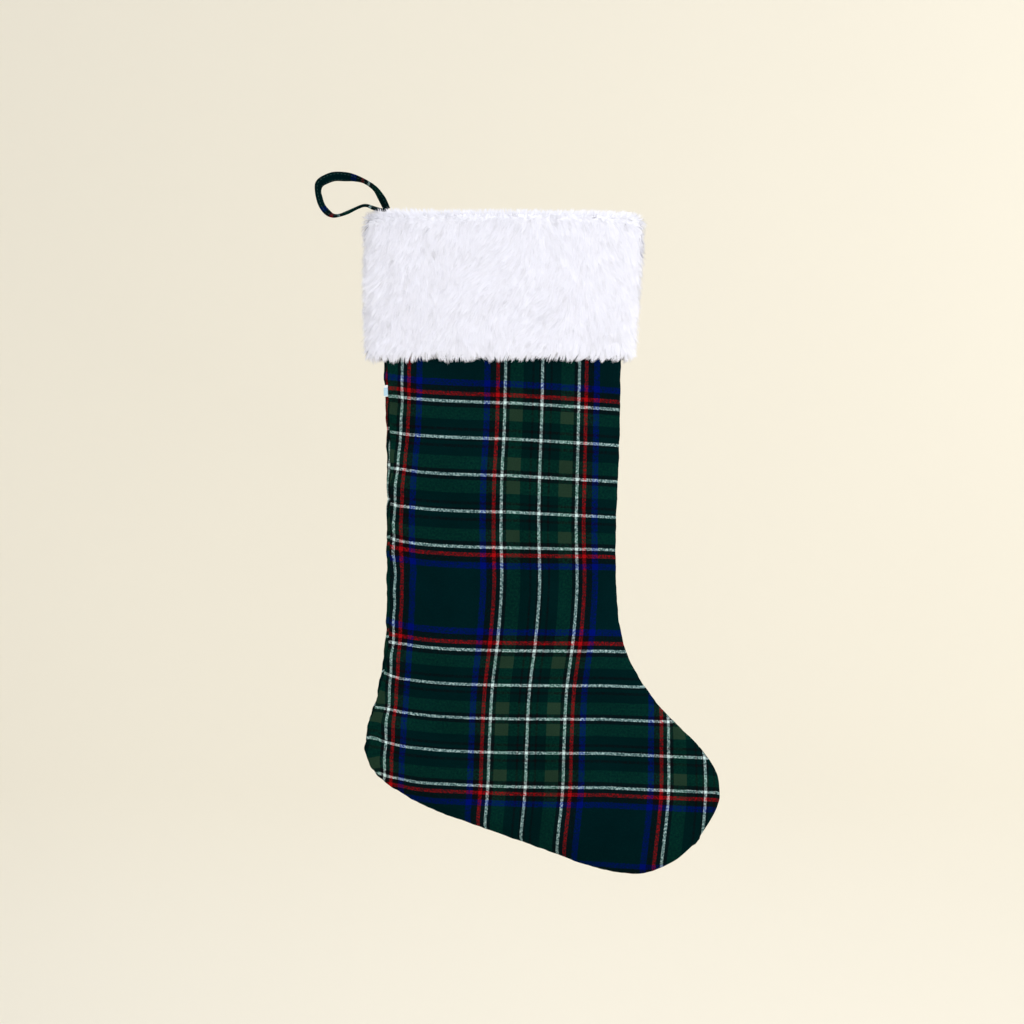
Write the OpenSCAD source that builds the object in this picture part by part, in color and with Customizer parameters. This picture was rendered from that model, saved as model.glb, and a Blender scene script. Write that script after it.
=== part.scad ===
// Hanging stocking: tartan shell and lining, turned-down fur cuff, strap loop and side label.
// X runs from the heel side to the toe side, the front faces -Y, and Z is up.
// The origin is the middle of the loop's eye, where the hook goes through.

/* [Leg and foot] */
// Thickness of the tartan cloth
shell_t = 1.2; // [0.8:0.1:1.6]
// Thickness of the lining cloth
lining_t = 0.8; // [0.5:0.1:1.2]
// Half the depth of the leg, front to back
leg_half_depth = 14; // [11:0.5:18]
// Half the depth of the open mouth
mouth_half_depth = 16; // [13:0.5:20]

/* [Cuff] */
// Depth of the turned-down cuff
cuff_h = 113; // [90:1:125]
// Thickness of the fur with its backing
fur_t = 8.5; // [6:0.5:12]
// Thickness of the plain cloth inside the cuff
facing_t = 0.8; // [0.5:0.1:1.2]

/* [Hanging loop] */
// Width of the strap
strap_w = 7.4; // [6:0.2:8]
// Thickness of the folded strap
strap_t = 2.4; // [1.6:0.1:2.6]

/* [Side label] */
// Height of the label along the seam
label_h = 8.8; // [8:0.2:16]
// Length of the folded label beyond the seam
label_l = 5.8; // [3:0.2:8]
// Thickness of the folded label
label_t = 0.8; // [0.6:0.1:1]

/* [Hidden] */
$fn = 48;

// Clear space between two layers of cloth
gap = 0.4;
// Half the clear space between a front panel and a back panel where they are sewn
seam_gap = 0.15;
// Room at the seams, between shell and lining, for the turned-in edges and their thread
seam_room = 2.4;
thread_r = 0.3;

// Heights of the cuff and of the layers that end at the mouth
cuff_top = -15;
cuff_bottom = cuff_top - cuff_h;
roll_h = 9.5;
mouth_z = cuff_top - roll_h - 1;
// Heights where the fur's straight outside starts at the hem and ends at the roll
fur_low = cuff_bottom + fur_t / 2;
fur_high = cuff_top - roll_h;

// Side of the leg towards the heel, from the mouth down round the heel and along the sole to the toe
heel_side = [
    [24.5, mouth_z], [28.8, -110], [32, -190], [32, -265], [31.5, -335],
    [25.5, -381], [16.5, -421], [26, -446], [62, -469], [110, -487],
    [155, -503], [190, -515.5], [224, -520.5], [250, -512], [266, -499.5]
];
// Side of the leg towards the toe, from the mouth down the instep and round the toe
toe_side = [
    [213, mouth_z], [210, -110], [208.5, -190], [206, -260], [208, -318],
    [214, -350], [224, -371], [237, -390], [249.5, -404], [262, -416],
    [274, -429], [283, -443], [286, -458], [282.5, -474], [271.5, -492.5]
];
// Half depth of the outside at each pair of points above
half_depth = [
    mouth_half_depth, leg_half_depth + 1, leg_half_depth, leg_half_depth, leg_half_depth,
    leg_half_depth, leg_half_depth, leg_half_depth, leg_half_depth, leg_half_depth,
    leg_half_depth - 1, leg_half_depth - 2, leg_half_depth - 4, leg_half_depth - 7, 1.6
];
last = len(heel_side) - 1;

// Left and right ends of the ring inside the fur, at the top and at the hem of the cuff
ring_top = [23.2, 217.5];
ring_hem = [24.5, 212.5];
ring_half_depth = mouth_half_depth + gap + facing_t;

// Root of the hanging loop, where it folds as it leaves the mouth seam
root = [33, -13.4];
root_r = 1.5;
// Heel side of the strap's sewn-in ends, clear of the lining where the mouth narrows to its seam
tab_x = root[0] + 0.5;
// Middle line of the strap, from the root round the eye and back
loop_path = [
    [32.6, -12.8], [30.9, -9.4], [28.1, -4], [23.2, 3], [14.8, 8.9], [7.3, 11.4],
    [-0.3, 12.6], [-8.3, 12.2], [-15, 10.1], [-19.4, 6.9], [-20.7, 1.7], [-19.6, -4.2],
    [-17.2, -10.2], [-13.4, -15], [-9, -17.5], [-4, -17.2], [2, -15.1], [8, -12.2],
    [13.5, -10], [17.5, -9.9], [21.8, -11.6], [26, -12.8], [32.2, -13.6]
];
// Turn of the strap about its middle line at each point: 0 shows its edge, 90 its face
loop_twist = [
    12, 36, 37, 19, 12, 32, 61, 66, 63, 49, 29, 31, 32, 34, 20, 13,
    17, 13, 5, 5, 10, 10, 4
];
loop_end = len(loop_path) - 1;

// Line on which the label bends, just outside the side seam, and how far it is folded to the front
label_z = -152;
label_x = 29.6;
label_fold = 120;

// Value at x of the smooth curve through the list p
function spline(p, x) =
    let (n = len(p) - 1,
         i = max(0, min(floor(x), n - 1)),
         f = x - i,
         a = p[max(i - 1, 0)],
         b = p[i],
         c = p[i + 1],
         d = p[min(i + 2, n)])
    b + 0.5 * f * ((c - a) + f * ((2 * a - 5 * b + 4 * c - d) + f * (3 * (b - c) + d - a)));

// Direction of the smooth curve through the list p, at x
function direction(p, x) =
    let (step = 0.02, v = spline(p, x + step) - spline(p, x - step)) v / norm(v);

// Points of the two sides, moved inwards from the seam by inset
function heel_edge(x, inset) =
    let (t = direction(heel_side, x)) spline(heel_side, x) + inset * [-t[1], t[0]];
function toe_edge(x, inset) =
    let (t = direction(toe_side, x)) spline(toe_side, x) + inset * [t[1], -t[0]];

// Point of a front layer of the leg: x runs down it, angle runs across it from seam to seam
function leg_point(x, angle, inset, depth) =
    let (a = heel_edge(x, inset),
         b = toe_edge(x, inset),
         m = (a + b) / 2 - cos(angle) * (b - a) / 2,
         h = max(spline(half_depth, x) - depth, 0.1))
    [m[0], -seam_gap - h * sin(angle), m[1]];

// Rows of a grid get closer together towards the toe
function row_at(i, rows) = last * (1 - pow(1 - i / rows, 1.25));

function leg_grid(rows, cols, inset, depth) =
    [for (i = [0:rows]) for (j = [0:cols])
        leg_point(row_at(i, rows), 180 * j / cols, inset, depth)];

// Closed sheet between an outer and an inner grid of points with the same rows and columns
module sheet(outer, inner, rows, cols) {
    n = (rows + 1) * (cols + 1);
    w = cols + 1;
    out = [for (i = [0:rows - 1]) for (j = [0:cols - 1])
        let (a = i * w + j)
        each [[a, a + 1, a + w], [a + 1, a + w + 1, a + w]]];
    inn = [for (f = out) [f[2] + n, f[1] + n, f[0] + n]];
    ends = [for (j = [0:cols - 1]) each [
        [j + n, j + 1 + n, j + 1], [j + n, j + 1, j],
        [rows * w + j, rows * w + j + 1, rows * w + j + 1 + n],
        [rows * w + j, rows * w + j + 1 + n, rows * w + j + n]]];
    sides = [for (i = [0:rows - 1]) each [
        [i * w, i * w + w, i * w + w + n], [i * w, i * w + w + n, i * w + n],
        [i * w + cols + n, i * w + w + cols + n, i * w + w + cols],
        [i * w + cols + n, i * w + w + cols, i * w + cols]]];
    polyhedron(
        points = concat(outer, inner),
        faces = concat(out, inn, ends, sides),
        convexity = 6);
}

// Closed tube or bar: every ring of points is one section, in order along it
module loft(rings, closed = false) {
    n = len(rings[0]);
    m = len(rings);
    steps = closed ? m - 1 : m - 2;
    walls = [for (i = [0:steps]) for (j = [0:n - 1])
        let (a = i * n + j,
             b = i * n + (j + 1) % n,
             c = ((i + 1) % m) * n + j,
             d = ((i + 1) % m) * n + (j + 1) % n)
        each [[a, c, b], [b, c, d]]];
    caps = closed ? [] : [
        [for (j = [0:n - 1]) j],
        [for (j = [n - 1:-1:0]) (m - 1) * n + j]];
    polyhedron(
        points = [for (ring = rings) each ring],
        faces = concat(walls, caps),
        convexity = 8);
}

// Six-sided ring of thread about p, square to the direction t that lies in the plane of up
function thread_ring(p, t, up) =
    let (s = cross(t, up))
    [for (k = [0:5]) p + thread_r * (cos(60 * k) * s + sin(60 * k) * up)];

// Line of thread through the points p, none of which doubles back
module thread_line(p, up, closed = false) {
    n = len(p);
    loft([for (i = [0:n - 1])
        let (a = closed ? p[(i + n - 1) % n] : p[max(i - 1, 0)],
             b = closed ? p[(i + 1) % n] : p[min(i + 1, n - 1)],
             t = (b - a) / norm(b - a))
        thread_ring(p[i], t, up)], closed);
}

// Point of a ring of the cuff at height z: angle 0 is the heel side, 90 the middle
function ring_point(z, angle, out, half) =
    let (k = (cuff_top - z) / cuff_h,
         l = ring_top[0] + k * (ring_hem[0] - ring_top[0]) - out,
         r = ring_top[1] + k * (ring_hem[1] - ring_top[1]) + out)
    [(l + r) / 2 - cos(angle) * (r - l) / 2, -seam_gap - half * sin(angle), z];

// Point of a ring of the mouth at height z
function mouth_point(angle, inset, depth, z) =
    let (l = heel_side[0][0] + inset, r = toe_side[0][0] - inset)
    [(l + r) / 2 - cos(angle) * (r - l) / 2,
     -seam_gap - (mouth_half_depth - depth) * sin(angle), z];

module shell_panel() {
    rows = 42;
    cols = 18;
    sheet(leg_grid(rows, cols, 0, 0), leg_grid(rows, cols, shell_t, shell_t), rows, cols);
}

module lining_panel() {
    rows = 36;
    cols = 14;
    e = shell_t + seam_room;
    d = shell_t + gap;
    sheet(leg_grid(rows, cols, e, d), leg_grid(rows, cols, e + lining_t, d + lining_t),
        rows, cols);
}

// Seam thread that follows the outline at the given inset
module seam_thread(inset) {
    rows = 30;
    down = [for (i = [1:rows - 1]) let (p = heel_edge(row_at(i, rows), inset)) [p[0], 0, p[1]]];
    up = [for (i = [rows - 1:-1:1]) let (p = toe_edge(row_at(i, rows), inset)) [p[0], 0, p[1]]];
    thread_line(concat(down, up), [0, 1, 0]);
}

module shell_front() {
    color([0.05, 0.2, 0.16]) shell_panel();
}

module shell_back() {
    color([0.04, 0.16, 0.13])
    mirror([0, 1, 0])
    shell_panel();
}

module shell_seam_stitching() {
    color([0.02, 0.08, 0.07]) seam_thread(shell_t + gap + thread_r);
}

module lining_front() {
    color([0.93, 0.92, 0.9]) lining_panel();
}

module lining_back() {
    color([0.88, 0.87, 0.85])
    mirror([0, 1, 0])
    lining_panel();
}

module lining_seam_stitching() {
    color([0.97, 0.97, 0.97]) seam_thread(shell_t + seam_room - gap - thread_r);
}

// Profile of the fur band from the hem up and over the mouth: how far it is from the ring inside
// it towards the mouth (0 to 1), how far out of that ring, and its height
fur_straight = 5;
fur_outside = concat(
    [for (a = [-90, -60, -30])
        [0, gap + fur_t / 2 + fur_t / 2 * cos(a), cuff_bottom + fur_t / 2 + fur_t / 2 * sin(a)]],
    [for (k = [0:fur_straight])
        [0, gap + fur_t, fur_low + k * (fur_high - fur_low) / fur_straight]],
    [for (a = [25:25:175])
        [(1 - cos(a)) / 2, (gap + fur_t) * (1 + cos(a)) / 2, fur_high + roll_h * sin(a)]]);
fur_inside = concat(
    [for (k = [1, 2, 3])
        [0, gap + fur_t / 2 - k * fur_t / 8, fur_low - fur_t / 2 + k * k * fur_t / 24]],
    [for (k = [0:fur_straight])
        [0, gap, fur_low + k * (fur_high - 2 * gap - fur_low) / fur_straight]],
    [for (k = [1:7]) [k / 7, gap * (1 - k / 7), fur_high + gap * (k / 7 - 1)]]);

function fur_point(q, angle) =
    let (a = ring_point(q[2], angle, q[1], ring_half_depth + q[1]),
         b = mouth_point(angle, shell_t + seam_room + lining_t,
             shell_t + gap + lining_t, q[2]))
    a + q[0] * (b - a);

module cuff_fur() {
    cols = 24;
    rows = len(fur_outside) - 1;
    sheet(
        [for (q = [rows:-1:0]) for (j = [0:cols]) fur_point(fur_outside[q], 180 * j / cols)],
        [for (q = [rows:-1:0]) for (j = [0:cols]) fur_point(fur_inside[q], 180 * j / cols)],
        rows, cols);
}

module cuff_facing() {
    rows = 6;
    cols = 18;
    top = fur_high - gap;
    bottom = fur_low + 2 * thread_r;
    outer = [for (i = [0:rows]) for (j = [0:cols])
        ring_point(top + i * (bottom - top) / rows, 180 * j / cols, 0, ring_half_depth)];
    inner = [for (i = [0:rows]) for (j = [0:cols])
        ring_point(top + i * (bottom - top) / rows, 180 * j / cols,
            -facing_t, ring_half_depth - facing_t)];
    sheet(outer, inner, rows, cols);
}

module cuff_fur_front() {
    color([0.96, 0.95, 0.97]) cuff_fur();
}

module cuff_fur_back() {
    color([0.92, 0.91, 0.93])
    mirror([0, 1, 0])
    cuff_fur();
}

module cuff_facing_front() {
    color([0.9, 0.89, 0.9]) cuff_facing();
}

module cuff_facing_back() {
    color([0.86, 0.85, 0.86])
    mirror([0, 1, 0])
    cuff_facing();
}

// Closed line of thread at height z through one ring of points
module ring_thread(points) {
    thread_line(points, [0, 0, 1], true);
}

// Thread that joins the fur panels down both side seams, inside the facing's edge
module cuff_seam_stitching() {
    color([0.98, 0.98, 0.98])
    for (angle = [0, 180]) {
        inward = angle == 0 ? 1 : -1;
        top = ring_point(fur_high - 40, angle, 0, 0);
        hem = ring_point(cuff_bottom + fur_t, angle, 0, 0);
        shift = [inward * (facing_t + gap + thread_r), 0, 0];
        a = [top[0], 0, top[2]] + shift;
        b = [hem[0], 0, hem[2]] + shift;
        thread_line([for (k = [0:6]) a + k * (b - a) / 6], [0, 1, 0]);
    }
}

// Thread that joins the fur to the facing along the hem
module cuff_hem_stitching() {
    steps = 40;
    z = fur_low - thread_r;
    color([0.98, 0.98, 0.98])
    ring_thread([for (k = [0:steps - 1])
        let (a = 360 * (k + 0.5) / steps,
             p = ring_point(z, 180 - a, -facing_t / 2, 0))
        [p[0], (ring_half_depth - facing_t / 2) * sin(a), z]]);
}

// Thread that joins shell, lining and fur round the mouth
module mouth_stitching() {
    steps = 40;
    inset = (shell_t + seam_room) / 2;
    l = heel_side[0][0] + inset;
    r = toe_side[0][0] - inset;
    z = mouth_z + 1 - thread_r - 0.1;
    color([0.98, 0.98, 0.98])
    ring_thread([for (k = [0:steps - 1])
        let (a = 360 * (k + 0.5) / steps)
        [(l + r) / 2 + cos(a) * (r - l) / 2, (mouth_half_depth - shell_t) * sin(a), z]]);
}

// Section of the strap at x along the loop: wide and thin, with softened corners
function strap_section(x, w, t) =
    let (p = spline(loop_path, x),
         d = direction(loop_path, min(max(x, 0.03), loop_end - 0.03)),
         n = [-d[1], 0, d[0]],
         turn = spline(loop_twist, x),
         across = [0, 1, 0] * cos(turn) + n * sin(turn),
         out = [0, -1, 0] * sin(turn) + n * cos(turn),
         c = t / 3)
    [for (q = [[-w / 2 + c, -t / 2], [w / 2 - c, -t / 2], [w / 2, -t / 2 + c], [w / 2, t / 2 - c],
               [w / 2 - c, t / 2], [-w / 2 + c, t / 2], [-w / 2, t / 2 - c], [-w / 2, -t / 2 + c]])
        [p[0], 0, p[1]] + q[0] * across + q[1] * out];

// Loop of folded strap, with a round root on which it folds over
module hanging_loop() {
    steps = 60;
    color([0.03, 0.17, 0.14])
    union() {
        for (half = [0, 1]) {
            loft([for (i = [0:steps / 2])
                strap_section(loop_end * (i / steps + half / 2), strap_w, strap_t)]);
        }
        translate([root[0], 0, root[1]])
        rotate([90, 0, 0])
        cylinder(r = root_r, h = strap_w, center = true);
    }
}

// Thread along the strap's two folded edges
module loop_edge_stitching() {
    steps = 60;
    inset = 1.4;
    lift = strap_t / 2 + 0.3;
    color([0.01, 0.09, 0.07])
    for (edge = [-1, 1]) {
        loft([for (i = [2:steps - 2])
            let (x = loop_end * i / steps,
                 s = strap_section(x, 2, 2),
                 m = (s[0] + s[4]) / 2,
                 across = (s[1] - s[0]) / norm(s[1] - s[0]),
                 out = (s[4] - s[1]) / norm(s[4] - s[1]),
                 c = m + edge * (strap_w / 2 - inset) * across + lift * out)
            [for (a = [0:60:300]) c + 0.2 * (cos(a) * across + sin(a) * out)]]);
    }
}

// Ends of the strap below the fold, caught in the mouth seam
module loop_tab() {
    tab_h = 28.5;
    color([0.03, 0.17, 0.14])
    translate([tab_x, -strap_w / 2, root[1] - root_r - 1.8 - tab_h])
    cube([strap_t, strap_w, tab_h]);
}

// Close zigzag that holds the strap's ends
module loop_bartack() {
    passes = 7;
    pitch = 1.1;
    start_z = -34;
    color([0.9, 0.9, 0.88])
    thread_line([for (k = [0:passes * 2])
        [tab_x + strap_t + thread_r + 0.1,
         (k % 2 == 0 ? -1 : 1) * (strap_w / 2 - 1),
         start_z - k * pitch / 2]], [1, 0, 0]);
}

// Woven label, sewn into the side seam and folded over towards the front
module side_label() {
    color([0.78, 0.86, 0.93])
    translate([label_x, 0, label_z])
    rotate([0, 0, label_fold])
    translate([-label_l, -label_t / 2, -label_h / 2])
    cube([label_l, label_t, label_h]);
}

shell_front();
shell_back();
shell_seam_stitching();
lining_front();
lining_back();
lining_seam_stitching();
cuff_fur_front();
cuff_fur_back();
cuff_facing_front();
cuff_facing_back();
cuff_seam_stitching();
cuff_hem_stitching();
mouth_stitching();
hanging_loop();
loop_edge_stitching();
loop_tab();
loop_bartack();
side_label();
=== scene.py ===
"""Hanging stocking: tartan flannel shell, white lining, long-pile fur cuff, strap loop, blank label.

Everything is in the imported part's frame. Lengths are in millimetres and turned into metres when a
mesh is made. X runs from the heel side to the toe side, the front faces -Y, Z is up.
"""

import math

import bmesh
import bpy
import numpy as np
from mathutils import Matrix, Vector, kdtree


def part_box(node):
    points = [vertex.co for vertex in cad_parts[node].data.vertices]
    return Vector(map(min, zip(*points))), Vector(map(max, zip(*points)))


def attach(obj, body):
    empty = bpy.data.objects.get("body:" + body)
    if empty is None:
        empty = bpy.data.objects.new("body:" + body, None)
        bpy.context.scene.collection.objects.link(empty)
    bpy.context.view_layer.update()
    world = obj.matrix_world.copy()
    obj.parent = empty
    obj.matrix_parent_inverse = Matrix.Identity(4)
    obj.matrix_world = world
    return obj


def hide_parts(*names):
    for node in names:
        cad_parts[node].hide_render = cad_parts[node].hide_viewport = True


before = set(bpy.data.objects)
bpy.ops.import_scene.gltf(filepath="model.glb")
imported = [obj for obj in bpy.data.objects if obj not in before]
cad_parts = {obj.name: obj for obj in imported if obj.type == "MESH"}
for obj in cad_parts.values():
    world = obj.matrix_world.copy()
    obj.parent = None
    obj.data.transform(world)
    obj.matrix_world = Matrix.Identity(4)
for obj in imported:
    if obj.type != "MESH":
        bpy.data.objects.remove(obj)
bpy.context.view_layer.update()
MM = 0.001
TURN = 2 * math.pi

# The stocking's two sides, mouth to toe, and its half depth at each pair of points, as in the part.
# A place along the stocking is counted in these points, from 0 at the mouth to LAST at the toe.
HEEL_SIDE = [
    (24.5, -25.5), (28.8, -110), (32, -190), (32, -265), (31.5, -335),
    (25.5, -381), (16.5, -421), (26, -446), (62, -469), (110, -487),
    (155, -503), (190, -515.5), (224, -520.5), (250, -512), (266, -499.5),
]
TOE_SIDE = [
    (213, -25.5), (210, -110), (208.5, -190), (206, -260), (208, -318),
    (214, -350), (224, -371), (237, -390), (249.5, -404), (262, -416),
    (274, -429), (283, -443), (286, -458), (282.5, -474), (271.5, -492.5),
]
HALF_DEPTH = [16, 15, 14, 14, 14, 14, 14, 14, 14, 14, 13, 12, 10, 7, 1.6]
LAST = len(HEEL_SIDE) - 1
LEG_END = -345
# Half the gap between front and back at the seam, and how far the thread draws the seam in
SEAM_GAP = 0.15
SEAM_TUCK = 0.95
SHELL_T = 1.0
# The lining lies this far inside the shell's sides and its front and back
LINING_T = 0.6
LINING_INSET = 3.6
LINING_DEPTH = 1.6

# The cuff: its inner ring at top and hem, its heights, and the mouth that the fur rolls over
CUFF_TOP = -15.0
CUFF_BOTTOM = -128.0
FUR_HIGH = -24.5
RING_TOP = (23.2, 217.5)
RING_HEM = (24.5, 212.5)
RING_HALF_DEPTH = 17.2
FACING_T = 0.7
MOUTH = (28.9, 208.6)
MOUTH_HALF_DEPTH = 13.6

# Hairs gather towards the tips of tufts. The pile is cut into sectors, so that no piece holds too
# many triangles.
FUR_BACKING_T = 1.2
HAIR_LENGTH = 9.6
HAIRS, HAIR_WIDTH = ((128000, 0.34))
TUFTS = 9000
PILE_SECTORS = 8

# The hanging loop: the strap's middle line, as in the part, and its turn about that in degrees
LOOP_PATH = [
    (32.6, -12.8), (30.9, -9.4), (28.1, -4), (23.2, 3), (14.8, 8.9), (7.3, 11.4),
    (-0.3, 12.6), (-8.3, 12.2), (-15, 10.1), (-19.4, 6.9), (-20.7, 1.7), (-19.6, -4.2),
    (-17.2, -10.2), (-13.4, -15), (-9, -17.5), (-4, -17.2), (2, -15.1), (8, -12.2),
    (13.5, -10), (17.5, -9.9), (21.8, -11.6), (26, -12.8), (32.2, -13.6),
]
LOOP_TWIST = [
    30, 40, 39, 20, 12, 32, 61, 66, 63, 49, 29, 31,
    32, 34, 20, 13, 17, 13, 8, 12, 18, 16, 8,
]
STRAP_W = 7.4
STRAP_T = 2.4
# The strap's place on the tartan: where along the sett it starts, and cloth per length of strap
STRAP_GROUND = 94.7
STRAP_STRETCH = 1.10
STRAP_START = 69.4 - 61.4 * STRAP_STRETCH
TAB_START = 62.0
# Rows of stitches near the strap's edges: distance from the edge, pitch, length and radius
STITCH_INSET = 1.4
STITCH_PITCH, STITCH_L, STITCH_R = 2.6, 1.9, 0.2

# The side label: where it bends, its length and fold, how far it is turned towards the front in
# degrees, and how much of it is held in the seam
LABEL_X = 30.4
LABEL_L = 5.8
LABEL_FOLD_R = 0.34
LABEL_TURN = 120
LABEL_T = 0.14
LABEL_SEWN = 0.5

# Tartan, as widths in millimetres from the middle of one block to the middle of the next.
# "lit" stripes turn olive where a lengthways one crosses a crossways one.
WARP_SETT = [
    ("white", 1.0), ("black", 1.7), ("dark", 3.4), ("black", 1.6), ("dark", 6.8),
    ("lit", 10.4), ("black", 2.6), ("white", 2.2), ("black", 3.2), ("red", 2.7),
    ("black", 4.6), ("blue", 4.8), ("green", 24.4),
]
WEFT_SETT = [
    ("white", 1.1), ("black", 2.7), ("lit", 10.0), ("dark", 6.5), ("black", 2.2),
    ("dark", 2.8), ("black", 1.3), ("white", 2.2), ("dark", 4.3), ("black", 2.3),
    ("dark", 6.1), ("lit", 9.2), ("black", 3.4), ("white", 2.2), ("black", 3.1),
    ("red", 3.0), ("black", 4.6), ("blue", 4.8), ("green", 22.6),
]
YARN = {
    "white": (0.50, 0.635, 0.62), "black": (0.0032, 0.0030, 0.0038),
    "dark": (0.0003, 0.0085, 0.0084), "lit": (0.0018, 0.0255, 0.0157),
    "red": (0.29, 0.0027, 0.0042), "blue": (0.0003, 0.0036, 0.106),
    "green": (0.0003, 0.0088, 0.0103),
}
OLIVE = (0.010, 0.0035, 0.001)
TWILL_PITCH = 1.15
# Two yarns that cross look darker than their mean, as one shades the other: this power of the mean
YARN_POWER = 0.4


# ---------------------------------------------------------------- curves and grids

def spline(points, x):
    """Smooth curve through points at x, which counts points; x may be an array."""
    p = np.asarray(points, float)
    x = np.asarray(x, float)
    n = len(p) - 1
    i = np.clip(np.floor(x).astype(int), 0, n - 1)
    f = x - i
    if p.ndim == 2:
        f = f[..., None]
    a, b = p[np.maximum(i - 1, 0)], p[i]
    c, d = p[i + 1], p[np.minimum(i + 2, n)]
    return b + 0.5 * f * ((c - a) + f * ((2 * a - 5 * b + 4 * c - d) + f * (3 * (b - c) + d - a)))


def unit(v):
    """Vectors at length 1."""
    return v / np.maximum(np.linalg.norm(v, axis=-1, keepdims=True), 1e-9)


def side_edge(points, x, inset, turn):
    """Points of one side, moved inwards; turn is 1 on the heel side and -1 on the toe side."""
    step = 0.02
    t = unit(spline(points, x + step) - spline(points, x - step))
    return spline(points, x) + inset * turn * np.stack([-t[..., 1], t[..., 0]], -1)


def bump(distance, width):
    """1 at distance 0, falling away as a bell."""
    return np.exp(-((distance / width) ** 2))


def ease(a, b, x):
    """0 at a and 1 at b, smooth between and level beyond; a may be the larger."""
    t = np.clip((x - a) / (b - a), 0, 1)
    return t * t * (3 - 2 * t)


def grid_normals(points):
    """Unit normals of a grid of points, rows first."""
    return unit(np.cross(np.gradient(points, axis=1), np.gradient(points, axis=0)))


def arc_along(points, axis):
    """Length along each line of a grid, from its first point."""
    step = np.linalg.norm(np.diff(points, axis=axis), axis=-1)
    zero = np.zeros_like(np.take(step, [0], axis=axis))
    return np.cumsum(np.concatenate([zero, step], axis=axis), axis=axis)


def mesh_object(name, verts_mm, faces, uv=None):
    """Mesh from points in millimetres and faces given as an array of indices."""
    mesh = bpy.data.meshes.new(name)
    verts = np.asarray(verts_mm, np.float32).reshape(-1, 3) * MM
    faces = np.asarray(faces, np.int32)
    mesh.vertices.add(len(verts))
    mesh.vertices.foreach_set("co", verts.ravel())
    mesh.loops.add(faces.size)
    mesh.loops.foreach_set("vertex_index", faces.ravel())
    mesh.polygons.add(len(faces))
    starts = np.arange(0, faces.size, faces.shape[1], dtype=np.int32)
    mesh.polygons.foreach_set("loop_start", starts)
    mesh.update(calc_edges=True)
    if uv is not None:
        layer = mesh.uv_layers.new(name="cloth")
        per_loop = np.asarray(uv, np.float32).reshape(-1, 2)[faces.ravel()]
        layer.data.foreach_set("uv", per_loop.ravel())
    mesh.polygons.foreach_set("use_smooth", np.full(len(faces), True))
    mesh.validate()
    made = bpy.data.objects.new(name, mesh)
    bpy.context.scene.collection.objects.link(made)
    return made


def grid_faces(rows, cols, wrap=False):
    """Quads of a grid of rows x cols points; wrap joins the last column to the first."""
    i = np.arange(rows - 1)[:, None]
    j = np.arange(cols if wrap else cols - 1)[None, :]
    k = (j + 1) % cols
    quads = [i * cols + j, i * cols + k, (i + 1) * cols + k, (i + 1) * cols + j]
    return np.stack([np.broadcast_to(q, (rows - 1, j.size)) for q in quads], -1).reshape(-1, 4)


def cloth_grid(name, points, uv, thickness, wrap=False):
    """Sheet of cloth on a grid of points, thickened away from its outward side."""
    faces = grid_faces(*points.shape[:2], wrap)
    made = mesh_object(name, points, faces, uv)
    solid = made.modifiers.new("thickness", "SOLIDIFY")
    solid.thickness = thickness * MM
    solid.offset = -1
    return made


# ---------------------------------------------------------------- materials

def new_material(name):
    """Empty material with one Principled shader."""
    made = bpy.data.materials.new(name)
    made.use_nodes = True
    nodes = made.node_tree.nodes
    nodes.clear()
    out = nodes.new("ShaderNodeOutputMaterial")
    shader = nodes.new("ShaderNodeBsdfPrincipled")
    made.node_tree.links.new(shader.outputs[0], out.inputs[0])
    return made, shader


class Nodes:
    """Short names for the nodes that the materials share."""

    def __init__(self, material):
        self.tree = material.node_tree

    def link(self, a, b):
        self.tree.links.new(a, b)

    def put(self, kind, **settings):
        node = self.tree.nodes.new(kind)
        for key, value in settings.items():
            setattr(node, key, value)
        return node

    def math(self, operation, a, b=None, clamp=False):
        node = self.put("ShaderNodeMath", operation=operation, use_clamp=clamp)
        for socket, value in zip(node.inputs, (a, b)):
            if value is None:
                continue
            if isinstance(value, (int, float)):
                socket.default_value = value
            else:
                self.link(value, socket)
        return node.outputs[0]

    def noise(self, vector, scale, detail=2.0, rough=0.5):
        node = self.put("ShaderNodeTexNoise")
        node.inputs["Scale"].default_value = scale
        node.inputs["Detail"].default_value = detail
        node.inputs["Roughness"].default_value = rough
        self.link(vector, node.inputs["Vector"])
        return node.outputs[0]

    def mix(self, factor, a, b, blend="MIX"):
        node = self.put("ShaderNodeMix", data_type="RGBA", blend_type=blend)
        for socket, value in ((node.inputs[0], factor), (node.inputs[6], a), (node.inputs[7], b)):
            if isinstance(value, (int, float)):
                socket.default_value = value
            elif isinstance(value, tuple):
                socket.default_value = (*value, 1)
            else:
                self.link(value, socket)
        return node.outputs[2]

    def stretch(self, value, low, high, to_low=0.0, to_high=1.0):
        node = self.put("ShaderNodeMapRange")
        for socket, number in zip(node.inputs[1:5], (low, high, to_low, to_high)):
            socket.default_value = number
        self.link(value, node.inputs[0])
        return node.outputs[0]

    def bump(self, height, strength, distance_mm, shader):
        node = self.put("ShaderNodeBump")
        node.inputs["Strength"].default_value = strength
        node.inputs["Distance"].default_value = distance_mm * MM
        self.link(height, node.inputs["Height"])
        self.link(node.outputs[0], shader.inputs["Normal"])


def matt(shader, roughness, sheen=0.0, tint=(1, 1, 1), specular=0.2):
    """Finish of cloth: rough, with a soft sheen at grazing angles."""
    shader.inputs["Roughness"].default_value = roughness
    shader.inputs["Specular IOR Level"].default_value = specular
    shader.inputs["Sheen Weight"].default_value = sheen
    shader.inputs["Sheen Roughness"].default_value = 0.45
    shader.inputs["Sheen Tint"].default_value = (*tint, 1)


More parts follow.
